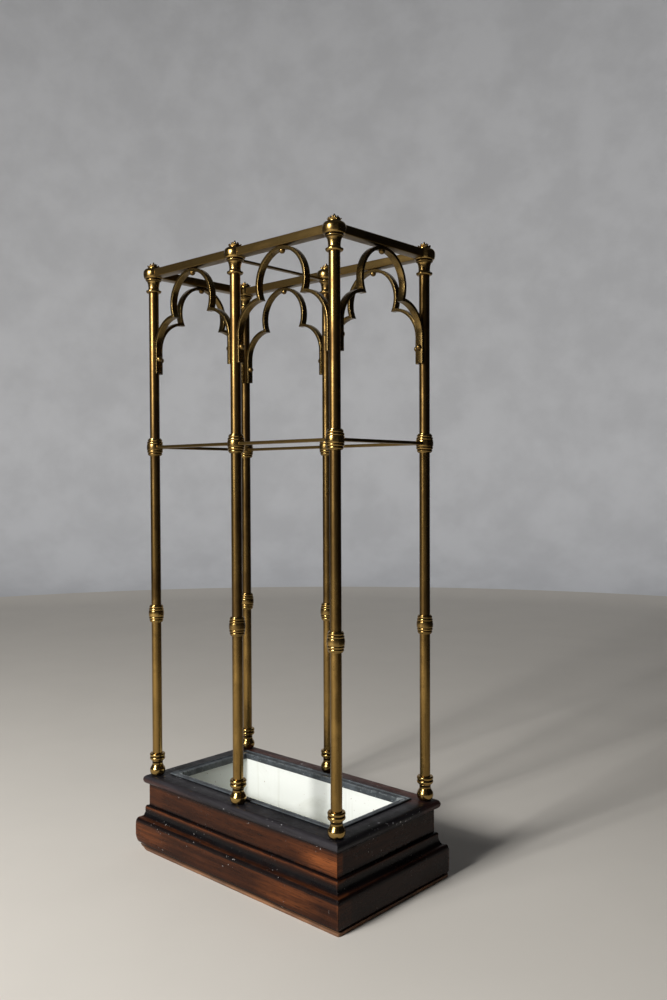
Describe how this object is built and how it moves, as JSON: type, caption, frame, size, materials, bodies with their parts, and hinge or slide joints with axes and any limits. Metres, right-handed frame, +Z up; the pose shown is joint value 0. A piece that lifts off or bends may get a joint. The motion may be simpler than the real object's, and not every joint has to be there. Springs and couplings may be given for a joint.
{
  "type": "stick and umbrella stand",
  "caption": "Free-standing stick and umbrella stand: turned brass columns, rails and trefoil arches on a moulded mahogany base with a lift-out drip tray.",
  "frame": {"origin": "centre of the underside of the base, on the floor", "axes": "+Z up, +X along the long side, +Y towards the back long side"},
  "size_m": [0.3006, 0.1676, 0.6396],
  "materials": {
    "column_brass": "aged and hand rubbed, bright on raised rings, brown in the grooves",
    "rail_brass": "dull brown-olive patina",
    "screw_brass": "aged, tarnished",
    "mahogany": "old polish, darkened mouldings with worn edges",
    "ebonised_wood": "blackened, waxed, chipped to the wood on its nose",
    "pine": "bare, stained with age",
    "iron": "dull, lightly rusted",
    "tray_paint": "old off-white paint, stained",
    "rim_paint": "dark blue-grey paint, worn bright on its edge"
  },
  "bodies": {
    "stand": {"bottom_board": "pine", "plinth_front": "mahogany", "plinth_back": "mahogany", "plinth_left": "mahogany", "plinth_right": "mahogany", "frieze_long_boards": "mahogany", "frieze_end_boards": "mahogany", "top_frame_front": "ebonised_wood", "top_frame_back": "ebonised_wood", "top_frame_left": "ebonised_wood", "top_frame_right": "ebonised_wood", "glue_blocks": "pine", "board_screws": "iron", "foot_left_front": "column_brass", "foot_middle_front": "column_brass", "foot_right_front": "column_brass", "foot_left_back": "column_brass", "foot_middle_back": "column_brass", "foot_right_back": "column_brass", "shaft_left_front": "column_brass", "shaft_middle_front": "column_brass", "shaft_right_front": "column_brass", "shaft_left_back": "column_brass", "shaft_middle_back": "column_brass", "shaft_right_back": "column_brass", "lower_rings": "column_brass", "mid_collars": "column_brass", "capital_left_front": "column_brass", "capital_middle_front": "column_brass", "capital_right_front": "column_brass", "capital_left_back": "column_brass", "capital_middle_back": "column_brass", "capital_right_back": "column_brass", "crown_nuts": "column_brass", "top_rail_front_left": "rail_brass", "top_rail_front_right": "rail_brass", "top_rail_back_left": "rail_brass", "top_rail_back_right": "rail_brass", "top_rail_left_end": "rail_brass", "top_rail_right_end": "rail_brass", "cross_bar": "rail_brass", "mid_rail_front_left": "rail_brass", "mid_rail_front_right": "rail_brass", "mid_rail_back_left": "rail_brass", "mid_rail_back_right": "rail_brass", "mid_rail_left_end": "rail_brass", "mid_rail_right_end": "rail_brass", "arch_front_left": "rail_brass", "arch_front_right": "rail_brass", "arch_back_left": "rail_brass", "arch_back_right": "rail_brass", "arch_left_end": "rail_brass", "arch_right_end": "rail_brass", "arch_foot_screws": "screw_brass", "arch_top_screws": "screw_brass", "tie_rods": "iron", "rod_nuts": "iron", "rod_washers": "iron"},
    "tray": {"drip_tray": "tray_paint", "tray_rim": "rim_paint"}
  },
  "joints": [
    {"name": "tray_lift", "type": "slide", "parent": "stand", "child": "tray", "axis": [0, 0, 1], "range_m": [0, 0.12]}
  ]
}
